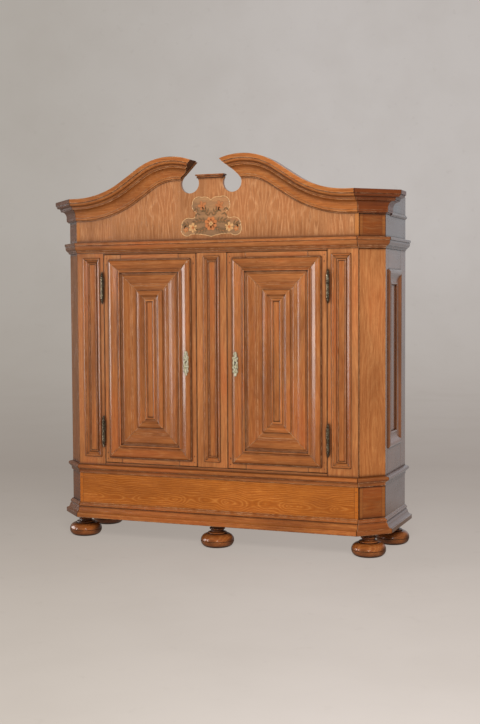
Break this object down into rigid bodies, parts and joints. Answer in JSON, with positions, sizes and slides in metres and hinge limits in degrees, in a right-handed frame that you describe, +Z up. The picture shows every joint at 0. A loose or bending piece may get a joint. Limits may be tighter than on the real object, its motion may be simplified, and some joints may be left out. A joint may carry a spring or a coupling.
{
  "type": "kas cupboard",
  "caption": "Oak kas cupboard with wave-moulded doors, canted corners, swan-neck pediment, inlaid frieze and bun feet; doors swing and lock bolts slide.",
  "frame": {"origin": "floor level, midway between the sides and midway between the crown's front and the back", "axes": "+Z up; the doors face -Y; +X is to the right of someone facing the doors"},
  "size_m": [2.084, 0.662, 2.173],
  "materials": {
    "oak_frame": "varnished oak, warm brown",
    "oak_moulding": "varnished oak mouldings, rubbed on the ridges",
    "oak_panel": "varnished oak panel",
    "veneer": "figured veneer under varnish",
    "veneer_ends": "cross-grained veneer under varnish",
    "oak_sides": "varnished oak",
    "inside_wood": "plain softwood, unfinished",
    "inlay_wood": "inlaid hardwood",
    "turned_oak": "turned oak, dark stained",
    "hinge_iron": "dark iron with a brassy wear",
    "lock_iron": "forged iron",
    "escutcheon_brass": "dull brass"
  },
  "bodies": {
    "cupboard": {"left_front_stile": "oak_frame", "right_front_stile": "oak_frame", "centre_stile": "oak_frame", "front_top_rail": "oak_frame", "front_bottom_rail": "oak_frame", "base_moulding_front": "oak_moulding", "base_moulding_returns": "oak_moulding", "plinth_cap_front": "oak_moulding", "plinth_cap_returns": "oak_moulding", "waist_moulding_front": "oak_moulding", "waist_moulding_returns": "oak_moulding", "left_crown": "oak_moulding", "right_crown": "oak_moulding", "left_crown_corner": "oak_moulding", "right_crown_corner": "oak_moulding", "pedestal_cap": "oak_moulding", "side_beads": "oak_moulding", "pilaster_panels": "oak_moulding", "plinth_board": "veneer", "frieze_board": "veneer", "plinth_ends": "veneer_ends", "frieze_ends": "veneer_ends", "corner_posts": "oak_sides", "left_side_frame": "oak_sides", "right_side_frame": "oak_sides", "left_side_panel": "oak_sides", "right_side_panel": "oak_sides", "floor_board": "inside_wood", "ceiling_board": "inside_wood", "back_boards": "inside_wood", "centre_post": "inside_wood", "shelves": "inside_wood", "shelf_bearers": "inside_wood", "foot_bearers": "inside_wood", "plinth_back_board": "inside_wood", "cornice_back_board": "inside_wood", "frieze_inlay": "inlay_wood", "front_left_foot": "turned_oak", "front_centre_foot": "turned_oak", "front_right_foot": "turned_oak", "back_left_foot": "turned_oak", "back_right_foot": "turned_oak", "frame_hinge_knuckles": "hinge_iron", "bolt_keeps": "lock_iron"},
    "left_door": {"left_door_frame": "oak_frame", "left_door_panel": "oak_panel", "left_door_outer_moulding": "oak_moulding", "left_door_inner_moulding": "oak_moulding", "left_door_hinge_knuckles": "hinge_iron", "left_lock_case": "lock_iron", "left_escutcheon": "escutcheon_brass"},
    "right_door": {"right_door_frame": "oak_frame", "right_door_panel": "oak_panel", "right_door_outer_moulding": "oak_moulding", "right_door_inner_moulding": "oak_moulding", "right_door_hinge_knuckles": "hinge_iron", "right_lock_case": "lock_iron", "right_escutcheon": "escutcheon_brass"},
    "left_bolt": {"left_lock_bolt": "lock_iron"},
    "right_bolt": {"right_lock_bolt": "lock_iron"}
  },
  "joints": [
    {"name": "left_door_hinge", "type": "hinge", "parent": "cupboard", "child": "left_door", "pos_m": [-0.674, -0.253, 1.05], "axis": [0, 0, -1], "range_deg": [0, 160]},
    {"name": "right_door_hinge", "type": "hinge", "parent": "cupboard", "child": "right_door", "pos_m": [0.674, -0.253, 1.05], "axis": [0, 0, 1], "range_deg": [0, 160]},
    {"name": "left_bolt_slide", "type": "slide", "parent": "left_door", "child": "left_bolt", "axis": [1, 0, 0], "range_m": [0, 0.02]},
    {"name": "right_bolt_slide", "type": "slide", "parent": "right_door", "child": "right_bolt", "axis": [-1, 0, 0], "range_m": [0, 0.02]}
  ]
}
